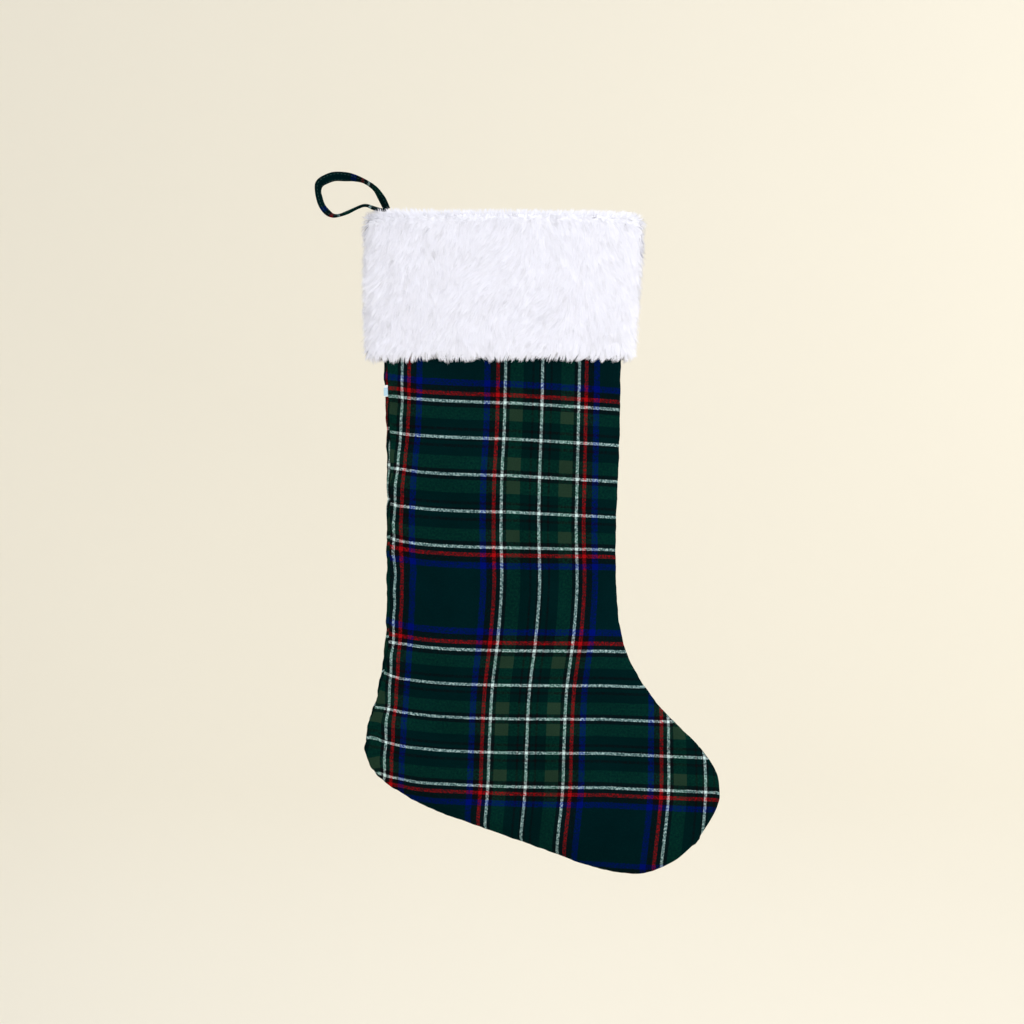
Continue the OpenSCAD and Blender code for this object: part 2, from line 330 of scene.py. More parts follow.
def sett_colour(n, place, sett, wobble):
    """Yarn colour, and 1 on a lit stripe, at a place measured across the sett in millimetres."""
    half = sum(width for _, width in sett)
    there = n.math("PINGPONG", n.math("ADD", place, wobble), half)
    ramp = n.put("ShaderNodeValToRGB")
    ramp.color_ramp.interpolation = "CONSTANT"
    n.link(n.math("DIVIDE", there, half), ramp.inputs[0])
    stops = ramp.color_ramp.elements
    at = 0.0
    for k, (yarn, width) in enumerate(sett):
        stop = stops[k] if k < 1 else stops.new(at / half)
        stop.color = (*(c ** YARN_POWER for c in YARN[yarn]), float(yarn == "lit"))
        at += width
    stops.remove(stops[len(stops) - 1])
    return ramp.outputs[0], ramp.outputs[1]


def tartan_material(name, light=1.0):
    """Brushed twill: warp and weft colours cross at each thread, under a short soft nap. light makes
    the whole cloth darker or lighter: below 1 it paints shade, as if the same cloth lay in shadow."""
    made, shader = new_material(name)
    n = Nodes(made)
    cloth = n.put("ShaderNodeUVMap", uv_map="cloth").outputs[0]
    axes = n.put("ShaderNodeSeparateXYZ")
    n.link(cloth, axes.inputs[0])
    across, along = axes.outputs[0], axes.outputs[1]
    yarn_drift = n.stretch(n.noise(cloth, 0.9, 3.0), 0, 1, -0.35, 0.35)
    warp, warp_lit = sett_colour(n, across, WARP_SETT, yarn_drift)
    weft, weft_lit = sett_colour(n, along, WEFT_SETT, yarn_drift)

    phase = n.math("MULTIPLY", n.math("ADD", across, along), TURN / TWILL_PITCH)
    twill = n.math("SINE", phase)
    fuzz = n.stretch(n.noise(cloth, 0.62, 3.0, 0.6), 0.28, 0.72, 0.02, 0.98)
    over = n.math("ADD", n.math("MULTIPLY", twill, 0.22), fuzz, clamp=True)
    woven = n.mix(over, warp, weft)
    power = n.put("ShaderNodeGamma")
    power.inputs[1].default_value = 1 / YARN_POWER
    n.link(woven, power.inputs[0])
    both_lit = n.math("MULTIPLY", warp_lit, weft_lit)
    woven = n.mix(both_lit, power.outputs[0], OLIVE, "ADD")

    # Broad random tone, times light: below 1 this paints shade over the whole cloth
    broad = n.stretch(n.noise(cloth, 0.022, 3.0), 0.3, 0.7, 0.86 * light, 1.12 * light)
    nap = n.stretch(n.noise(cloth, 1.3, 5.0, 0.75), 0.25, 0.75, 0.72, 1.3)
    shade = n.put("ShaderNodeCombineXYZ")
    for socket in shade.inputs:
        n.link(n.math("MULTIPLY", broad, nap), socket)
    woven = n.mix(1.0, woven, shade.outputs[0], "MULTIPLY")
    n.link(woven, shader.inputs["Base Color"])

    matt(shader, 0.95, sheen=0.015, tint=(0.1, 0.75, 0.8), specular=0.0)
    height = n.math("ADD", n.math("MULTIPLY", twill, 0.45), n.noise(cloth, 2.2, 5.0, 0.7))
    n.bump(height, 0.55, 0.35, shader)
    return made


def weave_material(name, colour, pitch_mm, sheen=0.15, shade=0.9, roughness=0.75):
    """Plain fine weave in one colour, with the small unevenness of real cloth."""
    made, shader = new_material(name)
    n = Nodes(made)
    place = n.put("ShaderNodeTexCoord").outputs["Object"]
    axes = n.put("ShaderNodeSeparateXYZ")
    n.link(place, axes.inputs[0])
    per_m = TURN / (pitch_mm * MM)
    flat = n.math("ADD", axes.outputs[0], axes.outputs[1])
    a = n.math("SINE", n.math("MULTIPLY", flat, per_m))
    b = n.math("SINE", n.math("MULTIPLY", axes.outputs[2], per_m))
    weave = n.math("MULTIPLY", a, b)
    soft = n.noise(place, 60, 4.0)
    tone = n.stretch(n.math("ADD", n.math("MULTIPLY", weave, 0.18), soft), 0.2, 0.8)
    dark = tuple(c * shade for c in colour)
    n.link(n.mix(tone, dark, colour), shader.inputs["Base Color"])
    matt(shader, roughness, sheen=sheen, specular=0.25)
    n.bump(n.math("ADD", weave, n.noise(place, 900, 3.0)), 0.4, 0.15, shader)
    return made


def thread_material(name, colour):
    """Twisted thread: fine diagonal ply lines along it."""
    made, shader = new_material(name)
    n = Nodes(made)
    place = n.put("ShaderNodeTexCoord").outputs["Object"]
    ply = n.put("ShaderNodeTexWave", wave_type="BANDS", bands_direction="DIAGONAL")
    ply.inputs["Scale"].default_value = 900
    ply.inputs["Distortion"].default_value = 1.5
    n.link(place, ply.inputs["Vector"])
    dark = tuple(c * 0.7 for c in colour)
    n.link(n.mix(ply.outputs[1], dark, colour), shader.inputs["Base Color"])
    matt(shader, 0.5, sheen=0.1, specular=0.35)
    n.bump(ply.outputs[1], 0.5, 0.1, shader)
    return made


def pile_material():
    """Loose hairs of the pile: one constant near-white, so that each hair stays a plain fibre."""
    made, shader = new_material("fur_pile_fibre")
    shader.inputs["Base Color"].default_value = (0.738, 0.734, 0.780, 1)
    matt(shader, 0.7, sheen=0.2, specular=0.2)
    return made


def fur_ground_material():
    """Dense under-fur on its knitted backing, about as white as the hair above it."""
    made, shader = new_material("fur_ground")
    n = Nodes(made)
    place = n.put("ShaderNodeTexCoord").outputs["Object"]
    tufts = n.put("ShaderNodeTexVoronoi")
    tufts.inputs["Scale"].default_value = 420
    n.link(place, tufts.inputs["Vector"])
    tone = n.stretch(n.noise(place, 260, 5.0, 0.7), 0.3, 0.7)
    n.link(n.mix(tone, (0.75, 0.745, 0.79), (0.80, 0.795, 0.84)), shader.inputs["Base Color"])
    matt(shader, 0.85, sheen=0.3, specular=0.1)
    n.bump(n.math("ADD", tufts.outputs[0], n.noise(place, 700, 4.0)), 0.8, 0.6, shader)
    return made


def label_material():
    """Blank woven ribbon: white edges and a pale blue field, with fine crosswise ribs."""
    made, shader = new_material("label_ribbon_weave")
    n = Nodes(made)
    cloth = n.put("ShaderNodeUVMap", uv_map="cloth").outputs[0]
    axes = n.put("ShaderNodeSeparateXYZ")
    n.link(cloth, axes.inputs[0])
    up = axes.outputs[1]
    from_edge = n.math("PINGPONG", up, 5.0)
    field = n.math("GREATER_THAN", from_edge, 1.9)
    rib_pitch = 0.45
    ribs = n.math("SINE", n.math("MULTIPLY", up, TURN / rib_pitch))
    blue = n.mix(n.stretch(ribs, -1, 1), (0.42, 0.68, 0.86), (0.55, 0.78, 0.92))
    n.link(n.mix(field, (0.90, 0.93, 0.95), blue), shader.inputs["Base Color"])
    matt(shader, 0.45, sheen=0.1, specular=0.4)
    n.bump(n.math("ADD", ribs, n.noise(cloth, 6, 3.0)), 0.4, 0.12, shader)
    return made


def dress(piece, material, body, *nodes, slot=None):
    """Gives a piece its material and body, and hides the CAD nodes that it stands for. slot is not
    used.
    """
    piece.data.materials.clear()
    piece.data.materials.append(material)
    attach(piece, body)
    if nodes:
        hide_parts(*nodes)


# ---------------------------------------------------------------- shell and lining

def down_the_stocking(rows):
    """Places from mouth to toe, closer together towards the toe."""
    return LAST * (1 - (1 - np.linspace(0, 1, rows)) ** 1.25)


def section_points(x, angle, inset, depth, side):
    """Points of a layer: x runs mouth to toe down the rows, angle 0..pi heel side to toe side."""
    tuck = SEAM_TUCK * (1 - ease(11, 13, x))[:, None]
    heel = side_edge(HEEL_SIDE, x, inset + tuck, 1)[:, None]
    toe = side_edge(TOE_SIDE, x, inset + tuck * ease(2.5, 4, x)[:, None], -1)[:, None]
    flat = (heel + toe) / 2 - np.cos(angle)[..., None] * (toe - heel) / 2
    half = np.maximum(spline(HALF_DEPTH, x) - depth, 0.1)[:, None]
    y = side * (SEAM_GAP + half * np.sin(angle))
    return np.stack([flat[..., 0], y, flat[..., 1]], -1)


def unroll(points, angle, side):
    """Where each point lies on the flat cloth: its X and Z, plus what the curve across hides."""
    heel, toe = points[:, 0], points[:, -1]
    rib = unit((toe - heel)[:, [0, 2]])[:, None]
    arc = arc_along(points, 1)
    flat = points[..., [0, 2]]
    chord = ((flat - flat[:, :1]) * rib).sum(-1)
    middle = points.shape[1] // 2
    hidden = (arc - arc[:, middle:middle + 1]) - (chord - chord[:, middle:middle + 1])
    return flat + hidden[..., None] * rib


# Folds pressed into the cloth: both ends, width and height, which is below 0 for a valley
FRONT_FOLDS = [
    ((34, -236), (62, -250), 5.5, -1.5), ((33, -262), (78, -312), 6.0, 1.5),
    ((36, -276), (74, -330), 5.0, -1.6), ((33, -206), (58, -214), 5.0, 1.0),
    ((30, -352), (66, -372), 8.0, 0.9), ((205, -322), (168, -352), 9.0, -1.1),
    ((210, -338), (180, -372), 9.0, 0.9), ((70, -448), (130, -466), 9.0, 0.8),
]
BACK_FOLDS = [
    ((34, -220), (80, -262), 8.0, 1.2), ((204, -300), (150, -352), 9.0, -1.3),
    ((40, -352), (96, -372), 9.0, 1.0), ((120, -466), (190, -470), 9.0, 0.9),
]


def fold_height(x, z, folds):
    """Height of the folds at each place: a ridge or a valley that fades towards its ends."""
    total = np.zeros_like(x)
    for (x0, z0), (x1, z1), width, height in folds:
        length = math.hypot(x1 - x0, z1 - z0)
        ux, uz = (x1 - x0) / length, (z1 - z0) / length
        t = ((x - x0) * ux + (z - z0) * uz) / length
        off = (x - x0) * uz - (z - z0) * ux
        fade = ease(-0.15, 0.12, t) * (1 - ease(0.45, 1.15, t))
        total += height * fade * bump(off, width)
    return total


def undulation(x, z, seed):
    """Broad soft unevenness of cloth that hangs with nothing in it."""
    rng = np.random.default_rng(seed)
    total = np.zeros_like(x)
    for wavelength in (150, 105, 74, 52, 37):
        direction, phase = rng.uniform(0, TURN, 2)
        place = x * math.cos(direction) + z * math.sin(direction)
        total += wavelength / 150 * np.sin(TURN / wavelength * place + phase)
    return total * 0.5


def outer_form(x, z, side):
    """Height of the shell above its plain form: soft unevenness and folds."""
    folds = FRONT_FOLDS if side < 0 else BACK_FOLDS
    return undulation(x, z, 3 if side < 0 else 8) + fold_height(x, z, folds)


def seam_pucker(run, distance, seed, height=0.55, reach=7.0):
    """Small gathers where the thread draws the seam up, fading away from it."""
    rng = np.random.default_rng(seed)
    total = np.zeros_like(run)
    for wavelength in (26, 17, 11, 7.5):
        phase = rng.uniform(0, TURN)
        total += np.sin(TURN * run / wavelength + phase) * wavelength / 26
    return height * total * np.exp(-distance / reach)


def roll_round(x):
    """Angle by which the heel-side seam rolls to the front: most along the upper leg."""
    return 0.20 * (1 - ease(4.2, 6.2, x)) + 0.05 * (1 - ease(11.5, 13.6, x))


def panel_points(side, rows, cols):
    """Front (side -1) or back (side 1) shell panel with its folds, puckers and turned-in seams, and
    where each of its points lies on the flat cloth."""
    x = down_the_stocking(rows)
    across = np.linspace(0, 1, cols)[None, :]
    start = (roll_round(x) if side < 0 else -roll_round(x))[:, None]
    angle = start + (math.pi - start) * across
    points = section_points(x, angle, 0, 0, side)
    flat = unroll(points, angle, side)
    normal = grid_normals(points) * (1 if side < 0 else -1)
    run = arc_along(points, 0)
    arc = arc_along(points, 1)
    heel_d, toe_d = arc, arc[:, -1:] - arc
    fade = 1 - ease(11.8, 13.8, x)[:, None]
    lift = outer_form(points[..., 0], points[..., 2], side)
    lift *= ease(2, 26, np.minimum(heel_d, toe_d))
    lift += seam_pucker(run[:, :1], heel_d, 11 + side) * (1 - 0.65 * ease(6, 8, x))[:, None]
    lift += seam_pucker(run[:, -1:], toe_d, 15 + side, 0.18)
    lift -= 0.9 * bump(heel_d, 1.7) + 0.9 * bump(toe_d, 1.7)
    return points + normal * (lift * fade)[..., None], flat


# The front's cloth is cut a little off grain and pulled about by its seams. Each list goes down the
# stocking in equal steps: the middle white stripe's X, how far the stripes are drawn together, how
# far the heel-side seam pulls them along, and how far down the crossways stripes are pulled.
GRAIN_TOP = -20
GRAIN_STEP = 40
WARP_MIDDLE = [
    152.6, 152.3, 151.8, 151.3, 150.4, 149.0, 148.5,
    149.0, 146.2, 141.3, 139.3, 137.8, 133.3, 129,
]
WARP_DRAWN = [0.02, 0.02, 0.02, 0.02, 0.02, 0, 0, 0, 0, 0.013, 0.013, 0.006, 0, 0]
SEAM_PULL = [1.2, 1.2, 1.2, 1.1, 1.1, 0.5, -1.6, -1.0, 0.6, 1.6, 0.7, 0, 0, 0]
WEFT_PULL = [1, 1, 1, 1.1, 1.2, 0.9, 0.4, 0.3, 1.1, 0.6, -0.9, -0.8, -1.2, -1.4]
FRONT_SEAM_X = 34
# The back: where its heel-side seam lies across the lengthways stripes, at which Z, and their lean
BACK_SEAM_AT, BACK_SEAM_Z = 32.8, -160
BACK_LEAN = 0.1


def front_cloth(flat):
    """Place on the tartan of each point of the front panel, in millimetres."""
    x, z = flat[..., 0], flat[..., 1]
    down = np.clip((GRAIN_TOP - z) / GRAIN_STEP, 0, len(WARP_MIDDLE) - 1.001)
    from_seam = np.maximum(x - FRONT_SEAM_X, -8)
    across = (x - spline(WARP_MIDDLE, down)) * (1 + spline(WARP_DRAWN, down))
    across -= spline(SEAM_PULL, down) * np.exp(-from_seam / 25)
    tug = np.exp(-from_seam / 12)
    across += tug * (0.35 * np.sin(z / 4.1) + 0.3 * np.sin(z / 7.3 + 1))

    wander = 0.45 * np.sin(z / 9.7 + x / 6) + 0.3 * np.sin(z / 5.3 - x / 4)
    z = z + spline(WEFT_PULL, down) + tug * wander
    upper = ease(-290, -235, z)
    rise = (4.1 + 2.1 * ease(-180, -215, z)) * np.exp(-from_seam / 27)
    rise += (0.008 + 0.014 * ease(-215, -170, z)) * np.maximum(128 - x, 0)
    rise -= (0.007 + 0.048 * upper) * np.maximum(x - 128, 0)
    rise -= 0.045 * (1 - upper) * np.maximum(x - 198, 0)
    along = np.interp(z - rise, [-540, -370, -270, -20], [-334.6, -154.4, -53.5, 195.5])
    return np.stack([across, along], -1)


def back_cloth(flat):
    """Place on the tartan of each point of the back panel. Its crossways stripes meet the front's at
    the heel-side seam, and its grain leans, so that a red stripe and then a white one run into that
    seam along the leg. Below the leg its lengthways stripes run straight on."""
    x, z = flat[..., 0], flat[..., 1]
    seam = flat[:, :1]
    leg_end = np.argmax(seam[:, 0, 1] < LEG_END)
    beside = np.minimum(np.arange(len(seam)), leg_end)
    across = x - seam[beside, :, 0] + BACK_SEAM_AT + (z - BACK_SEAM_Z) * BACK_LEAN
    along = front_cloth(seam)[..., 1] + (z - seam[..., 1]) - 0.03 * (x - seam[..., 0])
    return np.stack([across, along], -1)


def close_toe(points, uv):
    """One more row that brings the panel's end to the tip of the toe."""
    a, b = points[-1, 0], points[-1, -1]
    out = unit(np.array([b[2] - a[2], 0, a[0] - b[0]]))
    out = out if out[0] > 0 else -out
    middle = (points[-1] + (a + b) / 2) / 2 + out * 1.1
    middle[:, 1] = points[-1, :, 1] * 0.25
    return np.concatenate([points, middle[None]]), np.concatenate([uv, uv[-1:]])


def make_shell():
    """Both tartan panels."""
    tartan = tartan_material("tartan_flannel_twill")
    for name, side in (("shell_front", -1), ("shell_back", 1)):
        points, flat = panel_points(side, 420, 190)
        uv = front_cloth(flat) if side < 0 else back_cloth(flat)
        points, uv = close_toe(points, uv)
        if side > 0:
            points, uv = points[:, ::-1], uv[:, ::-1]
        piece = cloth_grid(name + "_tartan", points, uv, SHELL_T)
        dress(piece, tartan, "stocking", name, slot="tartan_flannel")


def make_lining():
    """White lining panels inside the shell, softly crumpled."""
    cloth = weave_material("lining_plain_weave", (0.86, 0.855, 0.84), 0.5, sheen=0.2, shade=0.93)
    for name, side in (("lining_front", -1), ("lining_back", 1)):
        rows, cols = 260, 110
        x = down_the_stocking(rows)
        angle = np.broadcast_to(np.linspace(0, math.pi, cols)[None, :], (rows, cols))
        points = section_points(x, angle, LINING_INSET, LINING_DEPTH, side)
        heel_d = arc_along(points, 1)
        edge = np.minimum(heel_d, heel_d[:, -1:] - heel_d)
        lift = outer_form(points[..., 0], points[..., 2], side) * ease(2, 26, edge) - 0.7
        lift -= 0.8 * np.abs(undulation(points[..., 0], points[..., 2], 21 + side))
        fade = ease(1, 16, edge) * (1 - ease(11.8, 13.6, x)[:, None])
        normal = grid_normals(points) * (1 if side < 0 else -1)
        points = points + normal * (lift * fade)[..., None]
        if side > 0:
            points = points[:, ::-1]
        piece = cloth_grid(name + "_cloth", points, points[..., [0, 2]], LINING_T)
        dress(piece, cloth, "stocking", name, slot="white_lining")


# ---------------------------------------------------------------- cuff

def ring_points(z, angle, out, half):
    """Closed ring of the cuff: angle 0 is the heel side, pi/2 the front, pi the toe side."""
    k = (CUFF_TOP - z) / (CUFF_TOP - CUFF_BOTTOM)
    left = RING_TOP[0] + k * (RING_HEM[0] - RING_TOP[0]) - out
    right = RING_TOP[1] + k * (RING_HEM[1] - RING_TOP[1]) + out
    x = (left + right) / 2 - np.cos(angle) * (right - left) / 2
    y = -half * np.sin(angle)
    return np.stack([x, y, np.broadcast_to(z, x.shape)], -1)


def mouth_points(z, angle):
    """Closed ring of the shell's mouth, which the fur rolls over; angle as in ring_points."""
    x = (MOUTH[0] + MOUTH[1]) / 2 - np.cos(angle) * (MOUTH[1] - MOUTH[0]) / 2
    return np.stack([x, -MOUTH_HALF_DEPTH * np.sin(angle), np.broadcast_to(z, x.shape)], -1)


def fur_ground_grid(cols=288, height=4.2, roll=5.2, hem=-122.5):
    """Top of the fur's backing, from under the hem, up the outside and over into the mouth. Each row
    says how far it has gone over towards the mouth, how far out it lies, and its Z."""
    angle = np.linspace(0, TURN, cols, endpoint=False)[None, :]
    under = [(0, 0.6 + height * k / 3, hem - 1.4 * math.sin(math.pi * (k + 1) / 6))
             for k in range(3)]
    straight = [(0, 0.4 + height, hem + (FUR_HIGH - hem) * k / 44) for k in range(45)]
    over = [((1 - math.cos(a)) / 2, (0.4 + height) * (1 + math.cos(a)) / 2,
             FUR_HIGH + roll * math.sin(a)) for a in np.linspace(0.16, math.pi - 0.05, 16)]
    rows = []
    for towards, out, z in under + straight + over:
        z = np.full_like(angle, z)
        ring = ring_points(z, angle, out, RING_HALF_DEPTH + out)
        # The fur bulges a little over the toe-side seam, most of all near the mouth
        fuller = np.clip(-np.cos(angle), 0, 1) ** 2 * (1.0 + 2.2 * ease(-120, -60, z))
        ring[..., 0] += fuller
        rows.append(ring + towards * (mouth_points(z, angle) - ring))
    return np.concatenate(rows)


def scatter(grids, count, rng):
    """Random places on a closed ring grid, evenly by area: the grids' values there, how far up
    the cuff they are, and how far round it, both from 0 to 1."""
    points = grids[0]
    rows, cols = points.shape[:2]
    nxt = np.roll(points, -1, axis=1)
    area = np.linalg.norm(np.cross(nxt[:-1] - points[:-1], points[1:] - points[:-1]), axis=-1)
    pick = rng.choice(area.size, count, p=(area / area.sum()).ravel())
    i, j = pick // cols, pick % cols
    k = (j + 1) % cols
    s, t = rng.random((2, count, 1))

    def at(grid):
        low = grid[i, j] * (1 - s) + grid[i, k] * s
        high = grid[i + 1, j] * (1 - s) + grid[i + 1, k] * s
        return low * (1 - t) + high * t

    return [at(grid) for grid in grids], (i[:, None] + t) / (rows - 1), (j[:, None] + s) / cols


def swirl(points, normal, comb):
    """Comb direction turned about the normal by soft waves, as brushed fur lies this way and that,
    and leaning to one side in the heel-side half."""
    x, y, z = np.moveaxis(points, -1, 0)
    turn = 0.26 * np.sin(x / 23 + z / 31 + 1.3) + 0.24 * np.sin(x / 11 - z / 17 + y / 9)
    turn = turn + 0.16 * np.sin(x / 5.3 + z / 6.1 + y / 5)
    leaning = 0.45 * ease(205, 120, x) * bump(z + 75, 45)
    turn = turn + np.sign(normal[..., 1]) * leaning
    side = np.cross(normal, comb)
    return comb * np.cos(turn)[..., None] + side * np.sin(turn)[..., None]


def hair_tips(root, normal, comb, row, rng):
    """Tip of each hair: it lies down the cuff, and is shorter and stands up more where the fur rolls
    over into the mouth. row is how far up the cuff it grows."""
    count = len(root)
    rolled = ease(0.70, 0.86, row)
    hem = 1 - ease(0.0, 0.1, row)
    shorter = 0.42 - 0.20 * ease(75, 45, root[:, :1])
    length = rng.normal(HAIR_LENGTH, 1.3, (count, 1))
    length = length * (1 - shorter * rolled) * (1 - 0.2 * hem)
    sway = rng.normal(0, 1, (count, 3)) * (0.17 + 0.06 * rolled)
    sides = np.abs(normal[:, :1]) * (1 - rolled)
    stand = 0.38 + 0.42 * rolled + 0.12 * sides + rng.normal(0, 0.05, (count, 1))
    lie = 0.92 - 0.52 * rolled - 0.10 * sides
    aim = unit(normal * stand + comb * lie + sway)
    return root + aim * length


def gather(root, tip, tuft_root, tuft_tip, tuft_lean, pull):
    """Hair tips drawn towards the tip of the nearest tuft, and how that tuft leans."""
    tree = kdtree.KDTree(len(tuft_root))
    for k, place in enumerate(tuft_root):
        tree.insert(place, k)
    tree.balance()
    near = np.array([tree.find(place)[1] for place in root])
    return tip + pull * (tuft_tip[near] - tip), tuft_lean[near]


def hair_mesh(name, root, tip, normal, width, rng):
    """Flat tapering hairs, bowed away from the cuff between root and tip. normal is the way the fur
    faces there. It shades the hairs in place of their own faces, as light passes through them."""
    steps = np.array([0, 0.3, 0.6, 0.85, 1.0])
    taper = np.array([0.8, 1.0, 0.8, 0.42, 0.05])
    length = np.linalg.norm(tip - root, axis=1, keepdims=True)
    bow = (root + tip) / 2 + normal * length * rng.uniform(0.08, 0.2, (len(root), 1))
    t = steps[None, :, None]
    line = (1 - t) ** 2 * root[:, None] + 2 * t * (1 - t) * bow[:, None] + t ** 2 * tip[:, None]
    across = unit(np.cross(tip - root, normal + rng.normal(0, 0.4, root.shape)))
    faces_in = (np.cross(across, tip - root) * normal).sum(1, keepdims=True) < 0
    across = np.where(faces_in, -across, across)
    reach = across[:, None] * (width * taper[None, :, None] / 2)
    verts = np.stack([line - reach, line + reach], 2).reshape(len(root), -1, 3)
    base = (np.arange(len(root)) * 2 * len(steps))[:, None, None]
    k = (2 * np.arange(len(steps) - 1))[None, :, None]
    faces = base + k + np.array([0, 1, 3, 2])[None, None, :]
    made = mesh_object(name, verts.reshape(-1, 3), faces.reshape(-1, 4))
    shade = unit(normal + rng.normal(0, 0.12, normal.shape))
    made.data.normals_split_custom_set_from_vertices(np.repeat(shade, 2 * len(steps), axis=0))
    return made


def make_cuff():
    """Fur cuff: under-fur on its backing, and the pile as real hairs in tufts."""
    ground = fur_ground_grid()
    normal = grid_normals(np.concatenate([ground, ground[:, :1]], 1))[:, :-1]
    # On this row the fur stands upright. A quarter of the way round is the front, which faces -Y
    upright = 20
    if normal[upright, ground.shape[1] // 4, 1] > 0:
        normal = -normal
    comb = swirl(ground, normal, -unit(np.gradient(ground, axis=0)))
    make_fur_ground(ground)
    make_pile(ground, normal, comb, normal[upright])


def make_fur_ground(ground):
    """Under-fur on its backing, front and back."""
    under_fur = fur_ground_material()
    half = ground.shape[1] // 2
    front = ground[:, :half + 1]
    back = np.concatenate([ground[:, half:], ground[:, :1]], 1)
    for name, part in (("cuff_fur_front", front), ("cuff_fur_back", back)):
        piece = cloth_grid(name + "_ground", part[::-1], part[..., [0, 2]], FUR_BACKING_T)
        dress(piece, under_fur, "stocking", name, slot="white_fur")


def make_pile(ground, normal, comb, outwards):
    """Hairs of the pile. outwards is the direction away from the cuff, for each place round it."""
    rng = np.random.default_rng(12)
    # The way the fur faces for its shading: nearly level, and on the rolled edge away from the mouth
    up = np.linspace(0, 1, len(ground))[:, None, None]
    facing = unit(unit(normal + 2.6 * outwards * up ** 4) * (0.6, 1, 0.3))
    (t_root, t_normal, t_comb), t_row, _ = scatter([ground, normal, comb], TUFTS, rng)
    t_tip = hair_tips(t_root, unit(t_normal), unit(t_comb), t_row, rng)
    t_lean = rng.normal(0, 0.12, t_root.shape)
    (root, out, lie, outward), row, turn = scatter([ground, normal, comb, facing], HAIRS, rng)
    own_tip = hair_tips(root, unit(out), unit(lie), row, rng)
    pull = 0.32 + 0.3 * (1 - ease(0.02, 0.16, row))
    tip, lean = gather(root, own_tip, t_root, t_tip, t_lean, pull)
    shade = unit(unit(outward) + lean)
    fibre = pile_material()
    sector = np.minimum((turn[:, 0] * PILE_SECTORS).astype(int), PILE_SECTORS - 1)
    half = PILE_SECTORS // 2
    for k in range(PILE_SECTORS):
        mine = sector == k
        name = f"cuff_pile_{'front' if k < half else 'back'}_{k % half + 1}"
        piece = hair_mesh(name, root[mine], tip[mine], shade[mine], HAIR_WIDTH, rng)
        dress(piece, fibre, "stocking", slot="white_fur")
        # White hair passes the light on, so the shadows are left to the under-fur below it
        piece.visible_shadow = False


def make_facing():
    """Plain cloth inside the cuff, seen only from below the hem."""
    cloth = weave_material("facing_knit", (0.84, 0.83, 0.85), 1.1,
                           sheen=0.1, shade=0.88, roughness=0.9)
    angle = np.linspace(0, math.pi, 120)[None, :]
    heights = np.linspace(FUR_HIGH - 0.5, CUFF_BOTTOM + 4.6, 60)
    for name, side in (("cuff_facing_front", 1), ("cuff_facing_back", -1)):
        points = np.concatenate([
            ring_points(np.full_like(angle, z), side * angle, 0, RING_HALF_DEPTH) for z in heights])
        wave = 0.15 * np.sin(points[..., 0] / 9) * ease(-70, CUFF_BOTTOM, points[..., 2])
        points = points + np.stack([0 * wave, wave, 0 * wave], -1)
        if side < 0:
            points = points[:, ::-1]
        piece = cloth_grid(name + "_cloth", points, points[..., [0, 2]], FACING_T)
        dress(piece, cloth, "stocking", name, slot="facing_cloth")


# ---------------------------------------------------------------- loop and label

def strap_frames(count):
    """Middle line of the strap with its width and thickness directions at each step."""
    x = np.linspace(0, len(LOOP_PATH) - 1, count)
    flat = spline(LOOP_PATH, x)
    inside = np.clip(x, 0.03, len(LOOP_PATH) - 1.03)
    d = unit(spline(LOOP_PATH, inside + 0.02) - spline(LOOP_PATH, inside - 0.02))
    turn = np.radians(spline(LOOP_TWIST, x))[:, None]
    n = np.stack([-d[:, 1], 0 * d[:, 0], d[:, 0]], -1)
    y = np.array([[0.0, 1.0, 0.0]])
    across = y * np.cos(turn) + n * np.sin(turn)
    out = -y * np.sin(turn) + n * np.cos(turn)
    line = np.stack([flat[:, 0], 0 * flat[:, 0], flat[:, 1]], -1)
    return line, across, out


def strap_profile(steps=28):
    """Closed section of a folded strip: flat faces with a stitched dip near each full edge."""
    a = np.linspace(0, TURN, steps, endpoint=False)
    w, t = STRAP_W / 2, STRAP_T / 2
    u = w * np.sign(np.cos(a)) * np.abs(np.cos(a)) ** 0.45
    v = t * np.sign(np.sin(a)) * np.abs(np.sin(a)) ** 0.75
    dip = 1 - 0.30 * bump(np.abs(u) - (w - STITCH_INSET), 0.55)
    return np.stack([u, v * dip], -1)


def sweep(line, across, out, profile):
    """Rings of a profile carried along a line."""
    wide, thick = profile[None, :, :1], profile[None, :, 1:]
    return line[:, None] + wide * across[:, None] + thick * out[:, None]


def tube_mesh(name, rings, uv):
    """Closed tube through rings of points, with capped ends."""
    rows, cols = rings.shape[:2]
    made = mesh_object(name, rings, grid_faces(rows, cols, wrap=True), uv)
    bm = bmesh.new()
    bm.from_mesh(made.data)
    bmesh.ops.holes_fill(bm, edges=[e for e in bm.edges if e.is_boundary])
    bmesh.ops.recalc_face_normals(bm, faces=bm.faces)
    bm.to_mesh(made.data)
    bm.free()
    return made


def strap_cloth(run, profile, start):
    """Place on the tartan along the strap, which is cut across the lengthways stripes, out of a
    plain part of the crossways ones."""
    along = np.broadcast_to(STRAP_GROUND + profile[None, :, 0], (len(run), len(profile)))
    across = np.broadcast_to(start + run[:, None] * STRAP_STRETCH, along.shape)
    return np.stack([across, along], -1)


